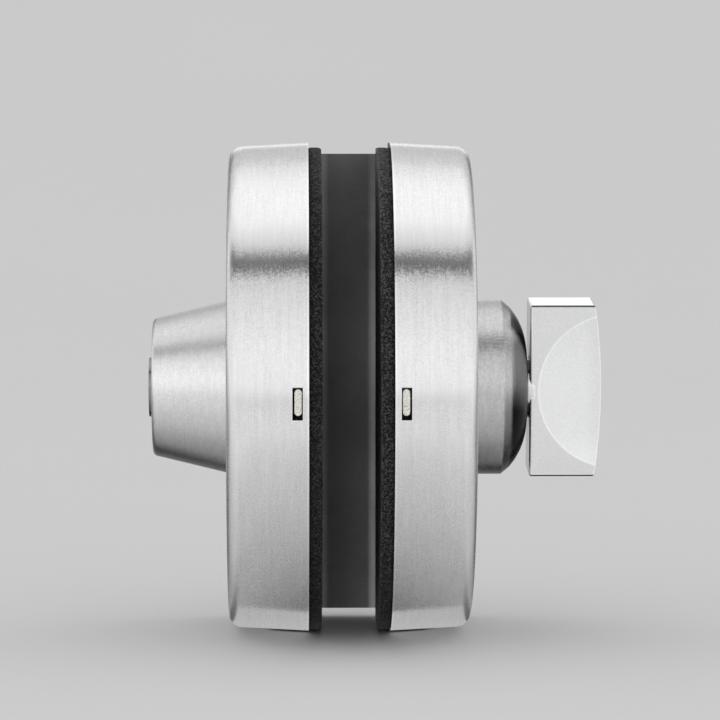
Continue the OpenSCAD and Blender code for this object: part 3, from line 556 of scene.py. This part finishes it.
def foam_body(low, high, foam):
    """Mesh of one pad between two corners: flat faces and a softly bulging cut edge."""
    mesh = bpy.data.meshes.new("pad")
    shell = bmesh.new()
    middle = 0.5 * (low.z + high.z)
    points = pad_outline(high.z - middle, middle, high.y, foam.step)
    centre = Vector((0.0, 0.5 * (low.y + high.y), middle))
    loops = []
    for row in range(foam.rows + 1):
        share = row / foam.rows
        pull = foam.bulge * (2 * share - 1) ** 4
        x = low.x + (high.x - low.x) * share
        loops.append([
            shell.verts.new(Vector((x, p.y, p.z)) + (centre - p).normalized() * pull) for p in points
        ])
    strips = list(zip(loops, loops[1:]))
    flat_share = 0.86
    for loop, x in ((loops[0], low.x), (loops[-1], high.x)):
        ring = []
        for v in loop:
            inner = centre + (v.co - centre) * flat_share
            inner.x = x
            ring.append(shell.verts.new(inner))
        strips.append((loop, ring))
        shell.faces.new(ring)
    for outer, inner in strips:
        for i, j in zip(range(len(points)), [*range(1, len(points)), 0]):
            shell.faces.new((outer[i], outer[j], inner[j], inner[i]))
    bmesh.ops.recalc_face_normals(shell, faces=shell.faces)
    shell.to_mesh(mesh)
    shell.free()
    mesh.polygons.foreach_set("use_smooth", [len(p.vertices) == 4 for p in mesh.polygons])
    return mesh


def cells_tree(material):
    """Geometry Nodes tree that sinks small cells into the cut edge of a pad."""
    tree = bpy.data.node_groups.new("Foam cells", "GeometryNodeTree")
    for socket, kind, way in (
        ("Geometry", "Geometry", "INPUT"), ("Cell size", "Float", "INPUT"), ("Depth", "Float", "INPUT"),
        ("Geometry", "Geometry", "OUTPUT"),
    ):
        tree.interface.new_socket(socket, in_out=way, socket_type="NodeSocket" + kind)
    w = Wiring(tree)
    given = w.node("NodeGroupInput").outputs
    normal = w.node("GeometryNodeInputNormal").outputs["Normal"]
    place = w.node("GeometryNodeInputPosition").outputs["Position"]
    on_edge = w.span(w.absolute(w.parts(normal)["X"]), 0.9, 0.5)
    cell = w.node("ShaderNodeTexVoronoi", {
        "Vector": place, "Scale": w.math("DIVIDE", 1.0, given["Cell size"]),
    }, feature="F1").outputs["Distance"]
    pit = w.math("MULTIPLY", w.span(cell, 0.0, 0.6, 1.0, 0.0), w.math("MULTIPLY", on_edge, given["Depth"]))
    moved = w.node("GeometryNodeSetPosition", {
        "Geometry": given["Geometry"], "Offset": w.scaled(normal, w.math("MULTIPLY", pit, -1.0)),
    }).outputs["Geometry"]
    solid = w.node("GeometryNodeRealizeInstances", {"Geometry": moved}).outputs["Geometry"]
    painted = w.node("GeometryNodeSetMaterial", {"Geometry": solid, "Material": material}).outputs["Geometry"]
    w.node("NodeGroupOutput", {"Geometry": painted})
    return tree


def through_nodes(name, mesh, tree, material, **sizes):
    """Runs a mesh through a Geometry Nodes tree and returns the result as a plain object."""
    carrier = new_piece(name + ".carrier", mesh)
    modifier = carrier.modifiers.new("nodes", "NODES")
    modifier.node_group = tree
    sockets = {s.name: s.identifier for s in tree.interface.items_tree if s.in_out == "INPUT"}
    for size, value in sizes.items():
        modifier[sockets[size.replace("_", " ")]] = value
    bpy.context.view_layer.update()
    evaluated = carrier.evaluated_get(bpy.context.evaluated_depsgraph_get())
    plain = bpy.data.meshes.new_from_object(evaluated)
    bpy.data.objects.remove(carrier)
    if not plain.polygons:
        raise RuntimeError(f"{name}: the tree gave no mesh")
    plain.materials.clear()
    plain.name = name
    return new_piece(name, plain, material)


class LockFinish(bpy.types.PropertyGroup):
    """Colours and grain of the lock's finishes."""

    stainless: FloatVectorProperty(
        name="Stainless", description="Reflected colour of the covers and tapered boss", subtype="COLOR",
        size=4, min=0.0, max=1.0, default=(0.83, 0.83, 0.83, 1.0))
    # Painted shade: the domed boss has a darker copy of the stainless colour.
    dome: FloatVectorProperty(
        name="Dome", description="Reflected colour of the domed boss", subtype="COLOR",
        size=4, min=0.0, max=1.0, default=(0.6, 0.6, 0.61, 1.0))
    knob: FloatVectorProperty(
        name="Knob", description="Reflected colour of the polished knob", subtype="COLOR",
        size=4, min=0.0, max=1.0, default=(0.9, 0.904, 0.91, 1.0))
    zinc: FloatVectorProperty(
        name="Zinc", description="Colour of the cast bases and their snap lugs", subtype="COLOR",
        size=4, min=0.0, max=1.0, default=(0.9, 0.88, 0.8, 1.0))
    spine: FloatVectorProperty(
        name="Spine", description="Colour of the spine bar's coating", subtype="COLOR",
        size=4, min=0.0, max=1.0, default=(0.16, 0.16, 0.16, 1.0))
    foam: FloatVectorProperty(
        name="Foam", description="Colour inside the foam's cells", subtype="COLOR",
        size=4, min=0.0, max=1.0, default=(0.003, 0.003, 0.0033, 1.0))
    foam_wall: FloatVectorProperty(
        name="Foam walls", description="Colour of the foam's cell walls", subtype="COLOR",
        size=4, min=0.0, max=1.0, default=(0.072, 0.072, 0.076, 1.0))
    foam_cell: FloatProperty(
        name="Foam cell", description="Size of a foam cell", unit="LENGTH", min=0.2 * MM, max=3 * MM,
        default=0.42 * MM)
    grain_across: FloatProperty(
        name="Grain across", description="Scratches in each millimetre across the grain", min=0.5, max=12.0,
        default=4.2)
    grain_along: FloatProperty(
        name="Grain along", description="Scratches in each millimetre along the grain", min=0.01, max=1.0,
        default=0.2)
    grain_contrast: FloatProperty(
        name="Grain contrast", description="How strongly single scratches stand out", min=0.0, max=4.0,
        default=2.3)
    speckle: FloatProperty(
        name="Speckle", description="Size of the fine speckle in the brushed metal", unit="LENGTH",
        min=0.1 * MM, max=2 * MM, default=0.3 * MM)
    # Painted highlight on the covers' rounded edges and lips, raised in the base colour.
    edge_highlight: FloatProperty(
        name="Edge shine", description="How much brighter the covers' rounded edges and lips reflect",
        min=0.0, max=1.0, default=0.5)
    grain_lean: FloatProperty(
        name="Grain lean", description="How far single scratches lean the surface, in radians", min=0.0,
        max=0.4, default=0.05)


class LockFoam(bpy.types.PropertyGroup):
    """Shape of the foam pads."""

    step: FloatProperty(
        name="Step", description="Length of a facet round the pad", unit="LENGTH", min=0.15 * MM, max=2 * MM,
        default=0.25 * MM)
    rows: IntProperty(
        name="Rows", description="Facets through the pad's thickness", min=4, max=24, default=12)
    bulge: FloatProperty(
        name="Bulge", description="How far the cut edge bulges past the pressed faces", unit="LENGTH",
        min=0.0, max=0.6 * MM, default=0.3 * MM)
    cell: FloatProperty(
        name="Cell", description="Size of the cells in the cut edge", unit="LENGTH", min=0.4 * MM, max=3 * MM,
        default=1.0 * MM)
    depth: FloatProperty(
        name="Cell depth", description="Depth of the cells in the cut edge", unit="LENGTH", min=0.0,
        max=0.5 * MM, default=0.16 * MM)
    fill: FloatProperty(name="Fill", description="How tight the foam is", subtype="FACTOR", min=0.0, max=1.0,
                        default=1.0)


class LockStage(bpy.types.PropertyGroup):
    """Floor, backdrop, light and camera."""

    floor: FloatVectorProperty(
        name="Floor", description="Colour of the floor and backdrop", subtype="COLOR", size=4, min=0.0,
        max=1.0, default=(0.62, 0.62, 0.62, 1.0))
    sky: FloatProperty(name="Sky", description="Level of the even light all round", min=0.0, max=2.0,
                       default=1.0)
    overhead: FloatProperty(name="Overhead", description="Power of the light above", unit="POWER", min=0.0,
                            max=60.0, default=2.6)
    line: FloatProperty(name="Line card", description="Level of the narrow card above the camera", min=0.0,
                        max=2.0, default=0.04)
    glow: FloatProperty(name="Back card", description="Level of the card behind the lock", min=0.0, max=3.0,
                        default=1.15)
    front: FloatProperty(name="Front card", description="Level of the card on the floor in front", min=0.0,
                         max=2.0, default=0.81)
    flank: FloatProperty(name="Flank cards", description="Level of the cards on the floor at both sides",
                         min=0.0, max=2.0, default=0.9)
    contact: FloatProperty(name="Contact card", description="Level of the card under the covers", min=0.0,
                           max=2.0, default=0.5)
    dark: FloatProperty(name="Dark cards", description="Least level of the low cards behind both sides",
                        min=0.0, max=1.0, default=0.02)
    corner: FloatProperty(
        name="Corner cards", description="Highest level of the upright cards behind both sides", min=0.0,
        max=1.0, default=0.2)
    side: FloatProperty(
        name="Side cards", description="Level of the upright cards at both sides, 60 mm above the boss axis",
        min=0.0, max=1.0, default=0.85)
    size: FloatProperty(name="Floor size", description="Half the width of the floor", unit="LENGTH", min=1.0,
                        max=20.0, default=6.0)
    back: FloatProperty(name="Backdrop", description="Distance to the backdrop", unit="LENGTH", min=0.4,
                        max=6.0, default=0.7)
    camera: FloatVectorProperty(
        name="Camera", description="Place of the camera", subtype="XYZ", unit="LENGTH", size=3,
        default=(-0.0114, -0.8667, 0.0593))
    turn: FloatProperty(name="Turn", description="Turn of the camera to the right", subtype="ANGLE",
                        default=0.0159)
    tilt: FloatProperty(name="Tilt", description="Tilt of the camera down", subtype="ANGLE", default=0.0617)
    lens: FloatProperty(name="Lens", description="Focal length in millimetres on a 36 mm sensor", min=10.0,
                        max=400.0, default=201.3)


class GLASS_LOCK_OT_covers(bpy.types.Operator):
    """Give both covers their brushed sheet finish."""

    bl_idname = "glass_lock.covers"
    bl_label = "Covers"

    def execute(self, context):
        finish = context.scene.lock_finish
        dress(brushed_sheet(finish), "brushed_stainless", "key_side_cover", "knob_side_cover")
        return {"FINISHED"}


class GLASS_LOCK_OT_bosses(bpy.types.Operator):
    """Give the tapered and the domed boss their turned finish."""

    bl_idname = "glass_lock.bosses"
    bl_label = "Bosses"

    def execute(self, context):
        finish = context.scene.lock_finish
        # Painted light and shade on the tapered boss by taper_shade.
        taper = turned_metal(finish, "turned stainless", finish.stainless, low=0.34, high=0.38, grainy=1.4,
                             shade=taper_shade)
        dress(taper, "brushed_stainless", "key_side_boss")
        # Painted shade: the dome's flat end is darkened, and dome_shade darkens it where it curves in.
        dome = turned_metal(finish, "turned stainless dome", finish.dome, low=0.24, high=0.28, grainy=1.8,
                            end_shade=0.2, shade=dome_shade)
        dress(dome, "brushed_stainless", "knob_side_boss")
        return {"FINISHED"}


class GLASS_LOCK_OT_knob(bpy.types.Operator):
    """Give the turn knob its polish."""

    bl_idname = "glass_lock.knob"
    bl_label = "Knob"

    def execute(self, context):
        dress(polished_metal(context.scene.lock_finish), "polished_chrome", "knob")
        return {"FINISHED"}


class GLASS_LOCK_OT_castings(bpy.types.Operator):
    """Give the bases their cast finish and the pinions their sintered one."""

    bl_idname = "glass_lock.castings"
    bl_label = "Castings"

    def execute(self, context):
        finish = context.scene.lock_finish
        zinc = cast_metal("zinc casting", finish.zinc, size=0.5 * MM, roughness=0.42, metallic=0.6,
                          depth=0.08 * MM, shade=recess_shade)
        dress(zinc, "zinc_casting", "key_side_base", "knob_side_base")
        grey = written_colour("sintered_steel")
        sintered = cast_metal("sintered steel", grey, size=0.3 * MM, roughness=0.45, metallic=1.0,
                              depth=0.03 * MM)
        dress(sintered, "sintered_steel", "key_pinion", "knob_pinion")
        return {"FINISHED"}


class GLASS_LOCK_OT_cylinder(bpy.types.Operator):
    """Give the lock cylinder, its plug and wafers, and both spring clips their finishes."""

    bl_idname = "glass_lock.cylinder"
    bl_label = "Lock cylinder"

    def execute(self, context):
        finish = context.scene.lock_finish
        # Painted shade darkens the round side of the cylinder and plug.
        nickel = turned_metal(finish, "nickel plate", written_colour("nickel_plate"), low=0.2, high=0.3,
                              grainy=0.6, side_shade=0.45)
        dress(nickel, "nickel_plate", "lock_cylinder", "key_plug")
        brass = plated_steel("stamped brass", written_colour("brass"), roughness=0.25)
        dress(brass, "brass", "wafers")
        dark = plated_steel("blackened spring steel", written_colour("black_spring_steel"), roughness=0.35)
        dress(dark, "black_spring_steel", "plug_clip", "knob_circlip")
        return {"FINISHED"}


class GLASS_LOCK_OT_steel(bpy.types.Operator):
    """Give the bolt, slides, caps, spindle, nuts and screws their steel."""

    bl_idname = "glass_lock.steel"
    bl_label = "Steel parts"

    def execute(self, context):
        steel = plated_steel("zinc plated steel", written_colour("steel"), roughness=0.28)
        nodes = [s["node"] for s in frame["record"]["subparts"] if s["material_slot"] == "steel"]
        dress(steel, "steel", *nodes)
        ground = plated_steel("ground bolt steel", written_colour("bolt_steel"), roughness=0.22)
        dress(ground, "bolt_steel", "bolt_head")
        return {"FINISHED"}


class GLASS_LOCK_OT_spine(bpy.types.Operator):
    """Give the spine bar its dark coating."""

    bl_idname = "glass_lock.spine"
    bl_label = "Spine bar"

    def execute(self, context):
        dress(spine_coating(context.scene.lock_finish), "dark_spine", "spine_bar")
        return {"FINISHED"}


class GLASS_LOCK_OT_pads(bpy.types.Operator):
    """Make the two foam pads with their cut, open-celled edges."""

    bl_idname = "glass_lock.pads"
    bl_label = "Foam pads"

    def execute(self, context):
        foam = context.scene.lock_foam
        material = foam_skin(context.scene.lock_finish)
        tree = cells_tree(material)
        for node in ("key_side_pad", "knob_side_pad"):
            low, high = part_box(node)
            body = foam_body(low, high, foam)
            made = through_nodes(node + "_foam", body, tree, material, Cell_size=foam.cell, Depth=foam.depth)
            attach(made, "lock_body")
            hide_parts(node)
        return {"FINISHED"}


class GLASS_LOCK_OT_stage(bpy.types.Operator):
    """Set the floor, the backdrop, the lights and the camera."""

    bl_idname = "glass_lock.stage"
    bl_label = "Stage"

    def execute(self, context):
        stage = context.scene.lock_stage
        self.sweep(stage)
        self.lights(stage)
        self.cards(stage)
        self.camera(stage)
        return {"FINISHED"}

    def sweep(self, stage):
        """Floor and backdrop in one piece, with a wide curve between them."""
        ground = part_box("key_side_cover")[0].z
        curve, rise, steps = 3.0, 4.0, 24
        profile = [(-stage.size, ground), (stage.back, ground)]
        for i in range(1, steps + 1):
            turn = 0.5 * math.pi * i / steps
            profile.append((stage.back + curve * math.sin(turn), ground + curve * (1 - math.cos(turn))))
        profile.append((stage.back + curve, ground + rise))
        verts = [(x, y, z) for y, z in profile for x in (-stage.size, stage.size)]
        faces = [(2 * i, 2 * i + 1, 2 * i + 3, 2 * i + 2) for i in range(len(profile) - 1)]
        mesh = bpy.data.meshes.new("sweep")
        mesh.from_pydata(verts, [], faces)
        mesh.polygons.foreach_set("use_smooth", [True] * len(mesh.polygons))
        made, w, shader = new_material("floor")
        tone = w.noise(w.place(), scale=3.0)
        w.feed(shader.inputs["Base Color"], toned(w, stage.floor, tone, 0.985, 1.015))
        shader.inputs["Roughness"].default_value = 0.7
        shader.inputs["Specular IOR Level"].default_value = 0.0
        new_piece("floor", mesh, made)

    def lights(self, stage):
        """Even light all round and a broad light above."""
        world = bpy.data.worlds.new("studio")
        bpy.context.scene.world = world
        world.use_nodes = True
        world.node_tree.nodes.clear()
        w = Wiring(world.node_tree)
        light = w.node("ShaderNodeBackground", {"Color": WHITE, "Strength": stage.sky}).outputs["Background"]
        seen = w.node("ShaderNodeBackground", {"Color": tuple(stage.floor)}).outputs["Background"]
        mixed = w.node("ShaderNodeMixShader", {0: w.node("ShaderNodeLightPath").outputs["Is Camera Ray"],
                                               1: light, 2: seen}).outputs["Shader"]
        w.node("ShaderNodeOutputWorld", {"Surface": mixed})
        panel = bpy.data.lights.new("overhead", "AREA")
        panel.shape = "RECTANGLE"
        panel.size, panel.size_y = 6.0, 1.3  # metres across, and in depth
        panel.energy = stage.overhead
        lamp = bpy.data.objects.new("overhead", panel)
        bpy.context.scene.collection.objects.link(lamp)
        lamp.location = (0.0, 0.45, 1.35)
        lamp.rotation_euler = (Vector() - lamp.location).to_track_quat("-Z", "Y").to_euler()
        lamp.visible_camera = False

    def cards(self, stage):
        """Grey cards that only the metal sees: they draw the dark and bright zones of the reflections."""
        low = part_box("key_side_cover")[0].z + 1.5 * MM
        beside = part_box("knob_side_cover")[1].x + 0.25 * MM
        strip, away = beside + 4.5 * MM, 0.6
        self.band(stage)
        self.upright("back", 0.62, rectangle(-0.12, 0.2, 0.13, 0.215), [(0.0, stage.glow)])
        self.upright("high", 1.2, rectangle(-3.0, 3.0, 0.45, 3.0), shared(HIGH_SHARES, stage.sky))
        self.flat("front", low, rectangle(-0.5, 0.5, -0.8, -0.17), [(0.0, stage.front)])
        self.flat("contact", low - MM, rectangle(-0.027, 0.027, -0.021, 0.02), [(0.0, stage.contact)])
        near = ((beside, -0.17), (beside, -0.06), (strip, -0.06), (strip, 0.011), (0.06, 0.0), (3.0, 0.0),
                (3.0, -1.5), (0.5, -0.8), (0.5, -0.17))
        edge = ((beside, -0.06), (strip, -0.06), (strip, 0.011), (beside, 0.012))
        behind = ((beside, 0.014), (0.06, 0.002), (away, 0.03), (away, 0.6), (beside, 0.6))
        side, corner = rectangle(0.1, 0.6, low, 0.3), rectangle(0.16, away, low, 0.26)
        for sign in (-1, 1):
            self.flat("near", low, mirrored(near, sign), shared(NEAR_SHARES, stage.flank))
            self.flat("edge", low, mirrored(edge, sign), shared(EDGE_SHARES, stage.flank))
            self.flat("low", low, mirrored(behind, sign), [
                (0.02, stage.dark), (0.08, 0.25 * stage.side), (0.6, 0.7 * stage.side)])
            self.card("side", [(sign * away, y, z) for y, z in side], Z_AXIS, shared(
                ((low, 0.3), (0.0, 0.6), (0.06, 1.0), (0.3, 1.1)), stage.side))
            self.upright("corner", away, mirrored(corner, sign), shared(
                ((low, 0.5), (0.26, 1.0)), stage.corner))

    def upright(self, name, y, outline, levels):
        """A card across the view, y behind the lock, with levels that change upwards."""
        self.card(name, [(x, y, z) for x, z in outline], Z_AXIS, levels)

    def flat(self, name, z, outline, levels):
        """A level card at height z, with levels that change towards the back."""
        self.card(name, [(x, y, z) for x, y in outline], Y_AXIS, levels)

    def band(self, stage):
        """Bowed card above the camera: the dark line across rims and bosses, softly shaded on both sides."""
        axis, up = Vector((0.0, 0.53, 0.848)), Vector((0.0, -0.848, 0.53))
        centre, reach = Vector((0.0, -0.045, 0.028)), 0.9
        # Angles from the axis in degrees, and the level there
        shades = ((38, 0.97), (46, 0.88), (51, 0.84), (55, stage.line), (63, stage.line), (65, 0.8),
                  (72, 0.8), (87, 0.9), (100, 1.0))
        turns = [math.radians(turn) for turn in range(-90, 91, 10)]
        count = len(turns)
        faces = [(i, i + 1, i + 1 + count, i + count) for i in range(count - 1)]
        for (start, before), (end, after) in zip(shades, shades[1:]):
            corners = []
            for away in (math.radians(start), math.radians(end)):
                corners += [centre + reach * (axis * math.cos(away) + math.sin(away) * (
                    up * math.cos(t) + Vector(X_AXIS) * math.sin(t))) for t in turns]
            places = [reach * math.cos(math.radians(away)) for away in (end, start)]
            self.card(f"band{start}", corners, axis, ((places[0], after), (places[1], before)), faces)

    def card(self, name, corners, axis, levels, faces=None):
        """One card that shines plainly, at levels that change along an axis."""
        made = bpy.data.materials.new(name + " card")
        made.use_nodes = True
        made.node_tree.nodes.clear()
        w = Wiring(made.node_tree)
        value = w.vector("DOT_PRODUCT", w.place(), axis, out="Value")
        level = levels[0][1]
        for (start, before), (end, after) in zip(levels, levels[1:]):
            if after != before:
                level = w.math("ADD", level, w.span(value, start, end, 0.0, after - before))
        glow = w.node("ShaderNodeEmission", {"Strength": level}).outputs["Emission"]
        w.node("ShaderNodeOutputMaterial", {"Surface": glow})
        mesh = bpy.data.meshes.new(name + "_card")
        mesh.from_pydata(corners, [], faces or [range(len(corners))])
        card = new_piece(name + "_card", mesh, made)
        card.visible_camera = False
        card.visible_shadow = False
        card.visible_diffuse = False

    def camera(self, stage):
        """Camera at the photograph's place."""
        data = bpy.data.cameras.new("camera")
        data.lens = stage.lens
        data.sensor_width = 36.0
        data.clip_start, data.clip_end = 0.05, 100.0
        made = bpy.data.objects.new("camera", data)
        bpy.context.scene.collection.objects.link(made)
        made.location = stage.camera
        made.rotation_euler = (0.5 * math.pi - stage.tilt, 0.0, -stage.turn)
        bpy.context.scene.camera = made
        bpy.context.scene.view_settings.view_transform = "Standard"


class GLASS_LOCK_PT_panel(bpy.types.Panel):
    """Lists the lock's pieces and the stage in the sidebar."""

    bl_label = "Glass lock"
    bl_idname = "GLASS_LOCK_PT_panel"
    bl_space_type = "VIEW_3D"
    bl_region_type = "UI"
    bl_category = "Glass lock"

    def draw(self, context):
        for operator in OPERATORS:
            self.layout.operator(operator.bl_idname)
        for group in (context.scene.lock_finish, context.scene.lock_foam, context.scene.lock_stage):
            box = self.layout.box()
            for name in group.__annotations__:
                box.prop(group, name)


OPERATORS = (
    GLASS_LOCK_OT_covers, GLASS_LOCK_OT_bosses, GLASS_LOCK_OT_knob, GLASS_LOCK_OT_castings,
    GLASS_LOCK_OT_cylinder, GLASS_LOCK_OT_steel, GLASS_LOCK_OT_spine, GLASS_LOCK_OT_pads, GLASS_LOCK_OT_stage,
)
GROUPS = {"lock_finish": LockFinish, "lock_foam": LockFoam, "lock_stage": LockStage}


def register():
    for name, group in GROUPS.items():
        bpy.utils.register_class(group)
        setattr(bpy.types.Scene, name, PointerProperty(type=group))
    for item in (*OPERATORS, GLASS_LOCK_PT_panel):
        bpy.utils.register_class(item)


def unregister():
    for item in reversed((*OPERATORS, GLASS_LOCK_PT_panel)):
        bpy.utils.unregister_class(item)
    for name, group in GROUPS.items():
        delattr(bpy.types.Scene, name)
        bpy.utils.unregister_class(group)


def main():
    register()
    for make in (streaks_group, turned_space_group, soft_edge_group, cells_group, handling_group):
        make()
    for name in ("covers", "bosses", "knob", "castings", "cylinder", "steel", "spine", "pads", "stage"):
        getattr(bpy.ops.glass_lock, name)()


if __name__ == "__main__":
    main()
